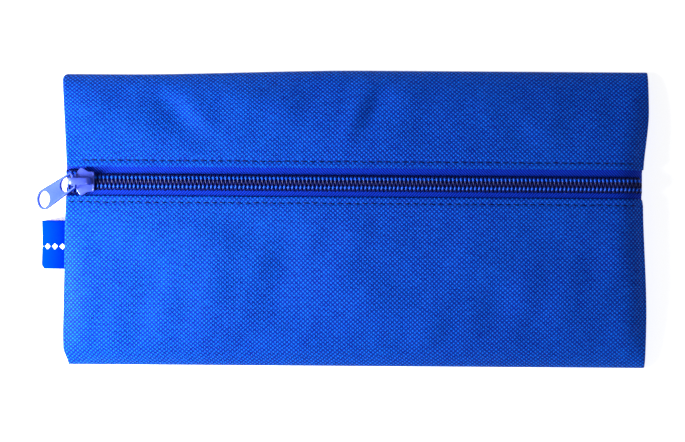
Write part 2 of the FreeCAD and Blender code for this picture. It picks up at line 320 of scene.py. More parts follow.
def canvas_finish(name):
    """Plain weave: height = half of cos(pi u) cos(pi v) about each crossing, less a groove between
    threads that grows with the fourth power of the distance from the thread's middle."""
    f = Finish(name, Specular_IOR_Level=0.10, Sheen_Weight=0.12, Sheen_Roughness=0.45,
               Sheen_Tint=(0.0, 0.6, 1.0, 1.0))
    uv = f.uv()
    x, y = f.parts(uv)
    drift = f.noise(uv, 90.0, 1.0) - 0.5
    wander = f.noise(uv, 260.0, 2.0, (1.0, 1.7, 1.0)) - 0.5
    u = (x / THREAD_X) + (drift * 0.9)
    v = (y / THREAD_Y) + (wander * 0.5)
    fu = u.math("FRACT") - 0.5
    fv = v.math("FRACT") - 0.5
    floats = ((u - 0.5) * math.pi).math("COSINE") * ((v - 0.5) * math.pi).math("COSINE")
    grooves = fu * fu * fu * fu + fv * fv * fv * fv
    height = floats * 0.5 + 0.55 - grooves * 5.0
    fibre = f.noise(uv, 2600.0, 3.0, (0.45, 1.0, 1.0)) - 0.5
    slub = f.noise(uv, 700.0, 2.0, (0.35, 1.6, 1.0)) - 0.5
    cloud = f.noise(uv, 22.0, 3.0) - 0.5
    # painted light and shade: height lightens the floats and darkens the grooves between threads
    shade = height * 0.95 + fibre * 0.45 + slub * 0.40 + cloud * 0.20 - 0.08
    colour = f.mix(shade, (0.0, 0.004, 0.24, 1.0), (0.0, 0.170, 1.0, 1.0))
    f.feed("Base Color", colour)
    f.feed("Roughness", 0.72 - height * 0.16)
    f.bump(height + fibre * 0.35 + slub * 0.3, 0.24 * MM, 1.0)
    return f.material


CANVAS = canvas_finish("canvas")
print("threads in a centimetre", round(10 * MM / THREAD_X, 1), "by", round(10 * MM / THREAD_Y, 1))

# %% [markdown]
# ## The pouch's form
# The pouch is a tube of cloth flattened into two folded edges and closed by a seam at each
# end. Its height is a function of place: nothing at the folds, nearly level in the middle, and
# down to the seams at the ends, which the stiff zip holds up a little.

# %% Heights and outline
BOTTOM_Y = -54.8
TOP_Y = 54.0
TOP_RISE = 2.0
LEFT_X = -107.6
RIGHT_X = 107.8
ZIP_Y = 13.5
LOWER_FOLD = 8.4
UPPER_FOLD = 19.2
CLOTH = 0.45            # thickness of the canvas
EDGE = 0.9              # height of the pouch at its folded edges
PLATEAU = 8.9           # what the filled middle adds to that
INSET = 2.35            # from a fold to its topstitching
STITCH_STEP = 3.1       # from one stitch to the next
SEAM_RISE = 3.1         # how far the end seams stand off the floor
ZIP_RISE_LEFT, ZIP_RISE_RIGHT = 4.6, 0.6     # what the stiff zip adds to that, at each end
SEAM_INSET = 0.9        # where the front starts to come down, from the seam
FRONT_RUN, BACK_RUN = 11.5, 13.0             # how far in from a seam it is still coming down
FRONT_CURVE, BACK_CURVE = 2.5, 4.0           # power of that descent


def smooth(t):
    """0 below 0, 1 above 1, and 3 t squared less 2 t cubed between."""
    t = np.clip(t, 0.0, 1.0)
    return t * t * (3 - 2 * t)


def left_edge(y):
    """X of the left seam: it bows in at the zip, and its two corners are drawn in."""
    above = 3.1 * np.clip((y - 19) / 33, 0, 1) ** 1.15
    below = 2.1 * np.clip((10 - y) / 53, 0, 1) ** 0.8
    corner = 1.6 * smooth((-48.5 - y) / 6.0) ** 0.9 + 1.0 * smooth((y - 52.6) / 2.0)
    return LEFT_X + 1.1 - above - below + corner


def right_edge(y):
    """X of the right seam: it bows in at the zip, and most of all just below it."""
    above = 2.2 * smooth((y - 17) / 24)
    below = 1.75 * smooth((6 - y) / 45) ** 0.8
    notch = 0.35 * np.exp(-(((y - 8.2) / 1.5) ** 2))
    return RIGHT_X - 0.45 + above + below - notch


def fullness(y):
    """0 at the two folded edges, 1 over most of the width: 1 less the fourth power of the
    distance from the middle, raised to 0.75."""
    v = np.clip((y - BOTTOM_Y) / (TOP_Y - BOTTOM_Y), 0, 1)
    return np.maximum(1 - np.abs(2 * v - 1) ** 4, 0.0) ** 0.75


def waves(x, y, seed, size, count=9):
    """Smooth unevenness: the mean of a few sine waves of about that length, each at its own
    angle and phase."""
    rng = np.random.default_rng(seed)
    total = 0.0
    for _ in range(count):
        angle, phase = rng.uniform(0, 2 * np.pi, 2)
        length = size * rng.uniform(0.6, 1.6)
        total = total + np.sin(2 * np.pi * (x * np.cos(angle) + y * np.sin(angle)) / length + phase)
    return total / count ** 0.5


def dent(x, y, at, along, across, angle):
    """A soft hollow: exp(-(p/along)^2 - (q/across)^2), with p and q turned by an angle."""
    c, s = math.cos(math.radians(angle)), math.sin(math.radians(angle))
    p = (x - at[0]) * c + (y - at[1]) * s
    q = (y - at[1]) * c - (x - at[0]) * s
    return np.exp(-((p / along) ** 2) - (q / across) ** 2)


def seam_height(side, y):
    """Height of an end seam: half the edge, plus a rise that follows the fullness, plus a bell
    shape about the zip."""
    rise = np.where(side < 0, ZIP_RISE_LEFT, ZIP_RISE_RIGHT)
    full = fullness(y)
    return EDGE / 2 + SEAM_RISE * full + rise * np.exp(-(((y - ZIP_Y) / 30) ** 2)) * full


def creases(x, y):
    """What the cloth's own slackness adds to its height, in millimetres: two sets of waves, a
    few long hollows and ridges, and short pulls beside the end seams."""
    free = smooth((108 - np.abs(x)) / 16) * smooth((53 - np.abs(y)) / 10)
    away = smooth(np.abs(y - ZIP_Y) / 14 - 0.5)
    h = 0.50 * waves(x, y, 3, 46) + 0.22 * waves(x, y, 8, 19)
    h = h - 0.9 * dent(x, y, (8, 42), 17, 3.6, 62) + 0.7 * dent(x, y, (0, 38), 16, 3.5, 66)
    h = h - 0.8 * dent(x, y, (-66, 38), 14, 4.0, -48) + 0.5 * dent(x, y, (-58, 40), 15, 4.0, -50)
    h = h - 0.6 * dent(x, y, (58, 36), 15, 4.5, -55) - 0.7 * dent(x, y, (-20, -18), 30, 9, 35)
    h = h + 0.5 * dent(x, y, (38, -26), 26, 8, 30) - 0.6 * dent(x, y, (-70, -28), 20, 8, -30)
    pull = np.exp(-(108 - np.abs(x)) / 5.0) * 0.35 * np.sin(2 * np.pi * y / 8.2 + 0.9 * np.sin(y / 5.0))
    return h * free * away + pull * smooth((50 - np.abs(y)) / 8)


def front_level(x, y):
    """Height of the front's outside away from the end seams: edge + plateau times fullness, less
    a channel along the stitching, plus its puckers and the creases."""
    row = np.where(y < ZIP_Y, LOWER_FOLD - INSET, UPPER_FOLD + INSET)
    channel = 0.28 * np.exp(-(((y - row) / 0.75) ** 2))
    pucker = 0.07 * np.sin(2 * np.pi * x / STITCH_STEP) * np.exp(-(((y - row) / 2.0) ** 2))
    return EDGE + PLATEAU * fullness(y) - channel + pucker + creases(x, y)


def front_top(x, y):
    """Height of the front's outside anywhere, in millimetres: the level height, coming down to
    the end seam's by the power 2.5 of the distance."""
    side = np.where(x < 0, -1, 1)
    reach = np.where(side < 0, left_edge(y), right_edge(y))
    t = np.clip(1 - (np.abs(reach) - SEAM_INSET - np.abs(x)) / FRONT_RUN, 0, 1)
    end = seam_height(side, y) + 2.0 * fullness(y) ** 0.5
    return end + (front_level(x, y) - end) * (1 - t ** FRONT_CURVE)


for sample_x in (-90.0, 0.0, 90.0):
    sample = front_top(np.array(sample_x), np.array(-20.0))
    print("height of the front at x", sample_x, "is", round(float(sample), 2), "mm")


# %% [markdown]
# ## Laying the cloth
# A row of the cloth runs along the case. It rolls over a small edge at each end, meets the
# row of the other side at the seam, and carries on inwards as seam allowance. The rows go
# round the pouch: the turned-under hem, the fold at the zip, the front, the lower edge, the
# back and the upper edge.

# %% Rows of cloth
ROLL = 0.85             # radius of the cloth's turn at an end seam
GAP = 0.27              # from the seam's middle to each of its two layers
COLUMNS = 171
FOLD_RADIUS = 0.30      # of the folds at the zip
HEM_DEPTH = 4.6
EDGE_RADIUS = 0.6       # of the lower and upper edges
FINE_BAND = 6.0         # closely spaced rows beside a fold
MOUTH_FROM, MOUTH_LENGTH = -106.5, 199.0
MOUTH_REACH = 34.0      # the cloth further than this from the zip stays put
FRONT_LOWEST = 3.2      # points below this height belong to the back


def cloth_rows(y, layer, drop):
    """Points of rows at nominal y. layer is 1 on the front and -1 on the back, and between
    them round a folded edge; drop lowers a row, as for a hem under the front. Height = the
    seam's, plus what the level row stands above it times 1 - t^power, where t goes from 0
    inside the pouch to 1 at the seam. A half circle and a flat allowance follow at each end."""
    y, layer, drop = (np.asarray(a, float)[:, None] for a in (y, layer, drop))
    turn = np.linspace(0, np.pi, 8)[None, :]
    even = np.linspace(0, 1, COLUMNS)
    main = (0.5 - 0.5 * np.cos(np.pi * even))[None, :] * 0.55 + even[None, :] * 0.45
    half = EDGE / 2 + PLATEAU * fullness(y) / 2
    roll = ROLL * np.abs(layer) * np.clip(half / (2.4 * ROLL), 0.1, 1)
    x0 = left_edge(y) + roll
    x1 = right_edge(y) - roll
    x = x0 + (x1 - x0) * main
    side = np.where(x < 0, -1, 1)
    run = np.where(layer > 0, FRONT_RUN, BACK_RUN)
    t = np.clip(1 - np.where(side < 0, x - x0, x1 - x) / run, 0, 1)
    end = seam_height(side, y) + layer * (2 * roll + GAP)
    top = front_level(x, y) - CLOTH / 2
    bottom = CLOTH / 2 + 0.05 + 0 * x
    level = (top + bottom) / 2 + layer * (top - bottom) / 2
    z = end + (level - end) * (1 - t ** np.where(layer > 0, FRONT_CURVE, BACK_CURVE)) - drop * (1 - t ** 3)
    left = (-1 * np.ones_like(y), x0)
    right = (np.ones_like(y), x1)
    ends = []
    for side, centre in (left, right):
        seam = seam_height(side, y)
        arc_x = centre + side * roll * np.sin(turn[:, 1:])
        arc_z = seam + layer * (GAP + roll + roll * np.cos(turn[:, 1:]))
        far = np.array([[2.0, 4.5, 7.0]])
        flap_x = centre - side * far
        flap_z = seam + layer * GAP + 0 * far
        ends.append((np.hstack([arc_x, flap_x]), np.hstack([arc_z, flap_z])))
    x = np.hstack([ends[0][0][:, ::-1], x, ends[1][0]])
    z = np.hstack([ends[0][1][:, ::-1], z, ends[1][1]])
    lift = TOP_RISE * smooth((x + 90) / 95) * smooth((y - 20) / 34)
    return np.stack([x, y + lift + 0 * x, np.maximum(z, CLOTH / 2)], axis=-1)


def sheet_uv(points):
    """UV in metres: the distance along each row from its middle, and along the middle column."""
    step = np.linalg.norm(np.diff(points, axis=1), axis=2)
    u = np.concatenate([np.zeros((len(points), 1)), np.cumsum(step, axis=1)], axis=1)
    u = u - u[:, u.shape[1] // 2][:, None]
    down = np.linalg.norm(np.diff(points[:, points.shape[1] // 2], axis=0), axis=1)
    v = np.concatenate([[0], np.cumsum(down)])[:, None] + 0 * u
    return np.stack([u, v], axis=-1) * MM


def fold_rows(fold, side):
    """The hem and the fold at the zip: y and drop go round a half circle from the hem to the
    front. side is -1 below the zip and 1 above it."""
    centre = fold + side * (FOLD_RADIUS + CLOTH / 2)
    hem = np.linspace(centre + side * HEM_DEPTH, centre, 7)[:-1]
    turn = np.linspace(-0.5 * np.pi, 0.5 * np.pi, 7)
    y = np.concatenate([hem, centre - side * FOLD_RADIUS * np.cos(turn)])
    drop = np.concatenate([np.full(6, 2 * FOLD_RADIUS), FOLD_RADIUS - FOLD_RADIUS * np.sin(turn)])
    return y, np.ones(len(y)), drop


def edge_rows(at, side, angles):
    """A folded edge of the pouch: the layer goes from front to back as the edge turns."""
    y = at - side * EDGE_RADIUS + side * EDGE_RADIUS * np.sin(angles)
    return y, np.cos(angles), 0 * angles


def stack_rows(*runs):
    """Joins runs of rows end to end: all their y, all their layers, all their drops."""
    return [np.concatenate(part) for part in zip(*runs)]


def mouth_share(points):
    """How much of a point moves with the lip when the zip is open: all of it half way along
    the mouth, none at the mouth's two ends, and less and less away from the zip."""
    x, y, z = (points[..., k] for k in range(3))
    along = np.clip((x - MOUTH_FROM) / MOUTH_LENGTH, 0, 1)
    lens = np.clip(np.sin(np.pi * along), 0, 1) ** 0.62
    off = np.where(y < ZIP_Y, LOWER_FOLD - y, y - UPPER_FOLD)
    front = (z > FRONT_LOWEST) & (np.abs(x) < 108)
    return lens * smooth(1 - off / MOUTH_REACH) * front


def give(obj, points):
    """Bakes the piece's placement into its points and works out the mouth's share of each
    point; nothing uses that share, and the piece does not bend.
    """
    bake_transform(obj)
    share = mouth_share(points).astype(np.float32).ravel()


front_y = LOWER_FOLD - FOLD_RADIUS - CLOTH / 2
near = np.linspace(front_y, front_y - FINE_BAND, 31)[1:]
far = np.linspace(front_y - FINE_BAND, BOTTOM_Y + EDGE_RADIUS, 62)[1:]
front = np.concatenate([near, far])
back = np.linspace(BOTTOM_Y + EDGE_RADIUS, TOP_Y - EDGE_RADIUS, 70)[1:-1]
wrap = cloth_rows(*stack_rows(
    fold_rows(LOWER_FOLD, -1),
    (front, np.ones(len(front)), np.zeros(len(front))),
    edge_rows(BOTTOM_Y, -1, np.linspace(0, np.pi, 9)[1:]),
    (back, -np.ones(len(back)), np.zeros(len(back))),
    edge_rows(TOP_Y, 1, np.linspace(np.pi, 0.5 * np.pi, 6)),
))
wrap_mesh = grid_mesh("canvas_wrap", wrap * MM, sheet_uv(wrap), flip=True)
canvas_wrap = piece("canvas_wrap", wrap_mesh, CANVAS, None, CLOTH * MM)
give(canvas_wrap, wrap)
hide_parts("back_panel", "front_lower_panel", "lower_hem")
print("wrap", wrap.shape, "box", np.round(wrap.min((0, 1)), 1), np.round(wrap.max((0, 1)), 1))

upper_y = UPPER_FOLD + FOLD_RADIUS + CLOTH / 2
near = np.linspace(upper_y, upper_y + FINE_BAND, 31)[1:]
far = np.linspace(upper_y + FINE_BAND, TOP_Y - EDGE_RADIUS, 34)[1:]
front = np.concatenate([near, far])
upper = cloth_rows(*stack_rows(
    fold_rows(UPPER_FOLD, 1),
    (front, np.ones(len(front)), np.zeros(len(front))),
    edge_rows(TOP_Y, 1, np.linspace(0, 0.5 * np.pi, 6)[1:]),
))
upper_mesh = grid_mesh("canvas_upper", upper * MM, sheet_uv(upper))
canvas_upper = piece("canvas_upper", upper_mesh, CANVAS, None, CLOTH * MM)
give(canvas_upper, upper)
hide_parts("front_upper_panel", "upper_hem")


def flat_size(points):
    """A sheet's size before it was folded, in metres: the mean length of its rows and the
    length of its middle column."""
    rows = np.linalg.norm(np.diff(points, axis=1), axis=2).sum(1).mean()
    column = np.linalg.norm(np.diff(points[:, points.shape[1] // 2], axis=0), axis=1).sum()
    return tuple(round(float(length) * MM, 4) for length in (rows, column))


print("flat sizes", flat_size(wrap), flat_size(upper))

# %% [markdown]
# ## Topstitching
# A row of lockstitch runs beside each fold. Only the top thread shows: a short, slightly
# slanted bar for each stitch, sunk at both ends where it goes down through the cloth.

# %% Thread finish and the two rows


def thread_finish(name, low, high):
    """Twisted thread: its colour runs from low to high with fine noise drawn out along it."""
    f = Finish(name, Specular_IOR_Level=0.15)
    place = f.place()
    strand = f.noise(place, 1500.0, 2.0, (0.5, 2.0, 1.0))
    f.feed("Base Color", f.mix(strand * 1.3 - 0.15, low, high))
    f.feed("Roughness", 0.42 + strand * 0.2)
    f.bump(strand, 0.05 * MM, 0.7)
    return f.material


THREAD = thread_finish("thread", (0.0, 0.004, 0.07, 1.0), (0.0, 0.020, 0.26, 1.0))
DARK_THREAD = thread_finish("dark_thread", (0.0, 0.001, 0.02, 1.0), (0.0, 0.012, 0.16, 1.0))
STITCH_LONG = 2.6
STITCH_RADIUS = 0.24


def topstitch_row(y, x_from, x_to, slant):
    """Tubes for one row: stitch k starts just past x_from + 3.1 k, is 2.6 mm long, and arches
    over the cloth by a sine raised to 0.6. Its radius goes to nothing at both ends."""
    k = np.arange(int((x_to - x_from) / STITCH_STEP))[:, None]
    s = np.linspace(0, 1, 9)[None, :]
    rng = np.random.default_rng(int(y * 10) + 50)
    jitter = rng.normal(0, 0.06, (len(k), 1))
    x = x_from + STITCH_STEP * k + 0.25 + STITCH_LONG * s
    across = y + jitter + slant * (s - 0.5) + 0 * k
    z = front_top(x, across) + 0.40 * np.sin(np.pi * s) ** 0.6 - STITCH_RADIUS
    size = STITCH_RADIUS * np.sin(np.pi * np.clip(s, 0.001, 0.999)) ** 0.3 * np.ones_like(x)
    size[:, [0, -1]] = 0.0
    path = np.stack([x, across, z], axis=-1)
    return tube(path, size, 6)


for name, lip, y, start, slant in (
    ("topstitch_lower", "lower_lip", LOWER_FOLD - INSET, -106.3, -0.30),
    ("topstitch_upper", "upper_lip", UPPER_FOLD + INSET, -101.0, -0.30),
):
    rings = topstitch_row(y, start, 104.5, slant)
    row = piece(f"{name}_thread", strands_mesh(name, rings * MM), DARK_THREAD)
    at = np.zeros(len(row.data.vertices) * 3)
    row.data.vertices.foreach_get("co", at)
    give(row, at.reshape(-1, 3) / MM)
    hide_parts(name)
    print(name, len(rings), "stitches")

# %% [markdown]
# ## The zip
# Each half of the zip is a woven tape with a coil sewn along its edge. The coil is a single
# filament wound into flat turns 1.5 mm apart round a cord. Each turn reaches past the middle
# and hooks between two turns of the other half. The tape is a herringbone weave.

# %% Where the zip lies
TAPE_Z = 8.1
RIGHT_DROP, LEFT_DROP = 4.6, 1.2
SPREAD = 1.6            # how far the slider pushes each half off the middle
JOINED_X, SPREAD_RUN = -97.85, 3.0


def tape_height(x):
    """Mid height of the tape: level, then down to the side seams, by the power 2.2 of the
    distance at the right and 1.5 at the left."""
    right = np.maximum(0.0, (x - 95.8) / 12.0) ** 2.2
    left = np.maximum(0.0, (-104.5 - x) / 3.0) ** 1.5
    return TAPE_Z - RIGHT_DROP * right - LEFT_DROP * left


def parting(x):
    """How far each half stands off the middle: the slider spreads them at the left."""
    return SPREAD * smooth((JOINED_X - x) / SPREAD_RUN)


def tape_finish(name, slope):
    """Herringbone: slanted ridges, one way on each tape, crossed by finer level ribs. The colour
    paints the ridges lighter and the grooves darker: painted light and shade.
    """
    f = Finish(name, Specular_IOR_Level=0.1)
    uv = f.uv()
    x, y = f.parts(uv)
    lines = (x + y * slope) / (1.05 * MM)
    ridge = (lines.math("FRACT") - 0.5).math("ABSOLUTE") * 2.0
    rib = ((y / (0.42 * MM)).math("FRACT") - 0.5).math("ABSOLUTE") * 2.0
    fibre = f.noise(uv, 2400.0, 2.0)
    height = ridge * 0.85 + rib * 0.15
    # painted light and shade: height lightens the ridges and darkens the grooves between them
    shade = height * 1.3 + fibre * 0.3 - 0.35
    f.feed("Base Color", f.mix(shade, (0.0, 0.002, 0.13, 1.0), (0.0, 0.048, 0.74, 1.0)))
    f.feed("Roughness", 0.78 - height * 0.15)
    f.bump(height + fibre * 0.3, 0.10 * MM, 0.8)
    return f.material


TAPE_FINISH = {
    1: tape_finish("zip_tape_upper_weave", 1.0),
    -1: tape_finish("zip_tape_lower_weave", -1.0),
}


def tape_sheet(side):
    """A tape from 0.5 to 11 mm off the middle of the zip: y = middle + off + parting, which
    fades away from the coil, and z = the tape's height with a faint ripple at its edge."""
    left, right = np.linspace(-106.9, -94, 40), np.linspace(94, 107.0, 30)
    x = np.concatenate([left, np.linspace(-94, 94, 95)[1:], right[1:]])
    off = np.linspace(0.5, 11.0, 30)
    x, off = np.meshgrid(x, off)
    y = ZIP_Y + side * (off + parting(x) * np.clip(1.4 - off / 6, 0, 1))
    z = tape_height(x) + 0.05 * np.sin(x / 2.3) * np.exp(-off / 3)
    return np.stack([x, y, z], axis=-1)


for name, side in (("upper", 1), ("lower", -1)):
    points = tape_sheet(side)
    uv = points[..., :2] * MM
    mesh = grid_mesh(f"tape_{name}", points * MM, uv, flip=side < 0)
    tape = piece(f"zip_tape_{name}_cloth", mesh, TAPE_FINISH[side], None, 0.5 * MM)
    give(tape, points)
    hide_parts(f"zip_tape_{name}")
    print(name, "tape along its edge and across, in metres", flat_size(points))

# %% [markdown]
# ## The coils
# One turn of the filament, seen along the zip, is a flat oval: out over the top, round the
# back of the tape's edge and in again underneath, with a head that dips where it hooks. We
# carry that oval along the zip as a helix and put a thin tube round it.

# %% Coils, their cords and their sewing


def coil_finish():
    """Glossy filament with painted light and shade: its colour is lightest along the top of each
    turn, where across is 1.62 mm, and painted near black towards the middle of the zip and out
    under the sewing, where shade falls.
    """
    f = Finish("coil_plastic", Coat_Roughness=0.25, Specular_IOR_Level=0.22)
    place = f.place()
    grain = f.noise(place, 900.0, 2.0)
    across = f.node("ShaderNodeAttribute", {"attribute_name": "across"}, out=2)
    # painted highlight along the top of each turn, fading to painted shade on both sides
    painted_light_on_crown = 1.15 - (across - 1.62).math("ABSOLUTE") * 1.9
    shade = painted_light_on_crown + grain * 0.3
    f.feed("Base Color", f.mix(shade, (0.003, 0.006, 0.10, 1.0), (0.0, 0.13, 1.0, 1.0)))
    f.feed("Roughness", 0.32 + grain * 0.15)
    f.shader.inputs["Coat Weight"].default_value = 0.05
    f.bump(grain, 0.02 * MM, 0.5)
    return f.material


COIL = coil_finish()
PITCH = 1.5
X_FROM, X_TO = -106.6, 106.9
COIL_RISE = 1.28        # from the tape's middle to the coil's
FILAMENT, CORD, SEWING = 0.34, 0.36, 0.27    # radii


def coil_path(side):
    """Flattened helix: across = 0.95 + 1.62 cos a and height = 0.72 sin a, both made squarer by
    the power 0.8, and one pitch along for each full turn. The other half runs half a pitch
    later."""
    turns = int((X_TO - X_FROM) / PITCH)
    a = np.linspace(0, 2 * np.pi * turns, turns * 18 + 1)
    x = X_FROM + PITCH * a / (2 * np.pi) + (0 if side > 0 else PITCH / 2)
    c, s = np.cos(a), np.sin(a)
    across = 0.95 + 1.62 * np.sign(c) * np.abs(c) ** 0.8
    z = 0.72 * np.sign(s) * np.abs(s) ** 0.8
    y = ZIP_Y + side * (across + parting(x))
    slope = np.gradient(tape_height(x), x)
    return np.stack([x - slope * z * 0.6, y, tape_height(x) + COIL_RISE + z], axis=-1)[None]


def lip_piece(name, rings, material, node):
    """A piece on one half of the zip, with each point's distance from the middle, in mm."""
    obj = piece(name, strands_mesh(name, rings * MM), material)
    at = np.zeros(len(obj.data.vertices) * 3)
    obj.data.vertices.foreach_get("co", at)
    at = at.reshape(-1, 3)
    across = np.abs(at[:, 1] / MM - ZIP_Y) - parting(at[:, 0] / MM)
    layer = obj.data.attributes.new("across", "FLOAT", "POINT")
    layer.data.foreach_set("value", across.astype(np.float32))
    give(obj, at / MM)
    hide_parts(node)
    print(name, len(obj.data.polygons), "faces")


def closed_radius(count, radius):
    """One radius for every point of a strand, and nothing at its two ends."""
    size = np.full((1, count), radius)
    size[:, [0, -1]] = 0.0
    return size


def sewing_path(side):
    """Chain stitch over the coil's back: one bar across the filament for each turn, level on
    the coil and then down to the tape by a smooth step."""
    k = np.arange(int((X_TO - X_FROM) / PITCH))[:, None]
    s = np.linspace(0, 1, 7)[None, :]
    x = X_FROM + PITCH * (k + 0.5) + (0 if side > 0 else PITCH / 2) + 0.55 * (s - 0.5)
    off = 1.95 + 1.15 * s
    z = COIL_RISE + 0.62 - 1.75 * smooth((s - 0.45) / 0.55)
    return np.stack([x, ZIP_Y + side * (off + parting(x)), tape_height(x) + z + 0 * x], axis=-1)


for name, side in (("upper", 1), ("lower", -1)):
    path = coil_path(side)
    lip_piece(f"coil_{name}_filament", tube(path, closed_radius(path.shape[1], FILAMENT), 7),
              COIL, f"zip_coil_{name}")
    x = np.linspace(X_FROM + 0.3, X_TO - 0.3, 180)
    cord = np.stack([x, ZIP_Y + side * (1.1 + parting(x)), tape_height(x) + COIL_RISE], axis=-1)[None]
    lip_piece(f"cord_{name}_core", tube(cord, closed_radius(len(x), CORD), 8),
              THREAD, f"core_cord_{name}")
    path = sewing_path(side)
    lip_piece(f"sewing_{name}_chain", tube(path, closed_radius(path.shape[1], SEWING), 6),
              DARK_THREAD, f"coil_stitching_{name}")

# %% [markdown]
# ## The slider
# The slider is a small die-cast body in blue lacquer: two plates joined by a post and two
# side walls, and an arched bridge that holds the pull tab. Plates with a curved outline are
# easiest as flat curves with a rounded edge, and the bridge is a flat oval carried along an
# arched path.

# %% Lacquered metal


def lacquer_finish(name, low, high, rough, coat):
    """Thin lacquer on cast metal: cloudy colour from low to high under a clear coat."""
    f = Finish(name, Metallic=0.2, Coat_Roughness=0.12)
    place = f.place()
    cloud = f.noise(place, 240.0, 3.0)
    speck = f.noise(place, 1800.0, 2.0)
    f.feed("Base Color", f.mix(cloud * 0.6 + speck * 0.4, (*low, 1.0), (*high, 1.0)))
    f.feed("Roughness", rough + cloud * 0.12 + speck * 0.06)
    f.shader.inputs["Coat Weight"].default_value = coat
    f.bump(speck * 0.5 + cloud, 0.03 * MM, 0.5)
    return f.material


LACQUER = lacquer_finish("blue_lacquer", (0.035, 0.06, 0.50), (0.075, 0.13, 0.80), 0.24, 0.5)
TAB_LACQUER = lacquer_finish("tab_lacquer", (0.006, 0.032, 0.42), (0.012, 0.062, 0.66), 0.42, 0.08)


def arc(centre, radius, start, stop, count):
    """Points of a circle between two angles in degrees."""
    a = np.radians(np.linspace(start, stop, count))
    return np.stack([centre[0] + radius * np.cos(a), centre[1] + radius * np.sin(a)], axis=-1)


def plate_mesh(name, outlines, low, high, round_edge):
    """A plate between two heights, from closed plan outlines; the inner ones are its holes."""
    curve = bpy.data.curves.new(name, "CURVE")
    curve.dimensions = "2D"
    curve.fill_mode = "BOTH"
    curve.extrude = (high - low) / 2 - round_edge
    curve.bevel_depth = round_edge
    curve.bevel_resolution = 3
    curve.offset = -round_edge
    for outline in outlines:
        line = curve.splines.new("POLY")
        line.points.add(len(outline) - 1)
        flat = np.column_stack([outline, np.zeros(len(outline)), np.ones(len(outline))])
        line.points.foreach_set("co", flat.ravel())
        line.use_cyclic_u = True
    holder = bpy.data.objects.new(name, curve)
    mesh = bpy.data.meshes.new_from_object(holder)
    bpy.data.objects.remove(holder)
    mesh.name = name
    mesh.transform(Matrix.Translation((0, 0, (low + high) / 2)))
    mesh.transform(Matrix.Scale(MM, 4))
    merge(mesh, 2e-6)
    shade_by_angle(mesh, 40)
    return mesh


def shade_by_angle(mesh, degrees):
    """Smooth faces, with edges kept sharp where the surface turns by more than an angle."""
    mesh.polygons.foreach_set("use_smooth", np.ones(len(mesh.polygons), bool))
    mesh.set_sharp_from_angle(angle=math.radians(degrees))


def rounded(points, count=9):
    """A closed smooth line through corner points: each corner is cut by a curved bend."""
    points = np.asarray(points, float)
    before = (np.roll(points, 1, axis=0) + points) / 2
    after = (np.roll(points, -1, axis=0) + points) / 2
    t = np.linspace(0, 1, count, endpoint=False)[None, :, None]
    bend = before[:, None] * (1 - t) ** 2 + 2 * points[:, None] * t * (1 - t) + after[:, None] * t ** 2
    return bend.reshape(-1, 2)


def mirrored(side_points):
    """A plan outline from its half: (x, half width) pairs from the rear to the nose."""
    side_points = np.asarray(side_points, float)
    near = np.column_stack([side_points[:, 0], ZIP_Y + side_points[:, 1]])
    far = np.column_stack([side_points[::-1, 0], ZIP_Y - side_points[::-1, 1]])
    return np.vstack([near, far])


SHIELD = [(-96.15, 2.0), (-96.15, 3.55), (-96.4, 3.68), (-97.8, 3.68), (-98.6, 3.85),
          (-99.4, 4.35), (-100.3, 4.98), (-100.95, 5.1), (-101.5, 4.9), (-102.2, 3.9),
          (-102.8, 2.9), (-103.2, 2.1), (-104.1, 1.75), (-105.0, 1.2), (-105.45, 0.4)]
LOWER_NOSE = -104.0     # the lower plate is shorter
shield = rounded(mirrored(SHIELD), 5)
upper_plate = piece("slider_upper_plate", plate_mesh("slider_upper_plate", [shield], 10.35, 11.15, 0.25),
                    LACQUER, "slider")
short = shield[shield[:, 0] > LOWER_NOSE]
lower_plate = piece("slider_lower_plate", plate_mesh("slider_lower_plate", [short], 6.7, 7.6, 0.25),
                    LACQUER, "slider")
post = rounded([(-101.35, ZIP_Y), (-102.35, ZIP_Y + 0.9), (-103.85, ZIP_Y), (-102.35, ZIP_Y - 0.9)])
slider_post = piece("slider_post", plate_mesh("slider_post", [post], 7.3, 10.7, 0.1), LACQUER, "slider")
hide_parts("slider_body")


def sweep(path, width, thick, power=3.0, sides=24):
    """A closed bar along a path in the XZ plane: its section is a rounded box, width across
    and thick in the plane, both given for every point; its ends are drawn in."""
    ahead = np.gradient(path, axis=0)
    ahead /= np.linalg.norm(ahead, axis=1, keepdims=True)
    out = np.stack([-ahead[:, 1], ahead[:, 0]], axis=1)
    a = np.linspace(0, 2 * np.pi, sides, endpoint=False)
    p = np.sign(np.cos(a)) * np.abs(np.cos(a)) ** (2 / power)
    q = np.sign(np.sin(a)) * np.abs(np.sin(a)) ** (2 / power)
    x = path[:, 0, None] + out[:, 0, None] * q * thick[:, None] / 2
    z = path[:, 1, None] + out[:, 1, None] * q * thick[:, None] / 2
    y = ZIP_Y + p * width[:, None] / 2
    return np.stack([x, y, z], axis=-1)[None]


def smooth_path(corners, count):
    """A curve that follows corner points, by a quadratic bend at each of them."""
    corners = np.asarray(corners, float)
    mids = (corners[1:] + corners[:-1]) / 2
    t = np.linspace(0, 1, count)[None, :, None]
    bend = mids[:-1, None] * (1 - t) ** 2 + 2 * corners[1:-1, None] * t * (1 - t) + mids[1:, None] * t ** 2
    line = np.vstack([corners[:1], bend.reshape(-1, 2), corners[-1:]])
    keep = np.r_[True, np.linalg.norm(np.diff(line, axis=0), axis=1) > 1e-6]
    return line[keep]


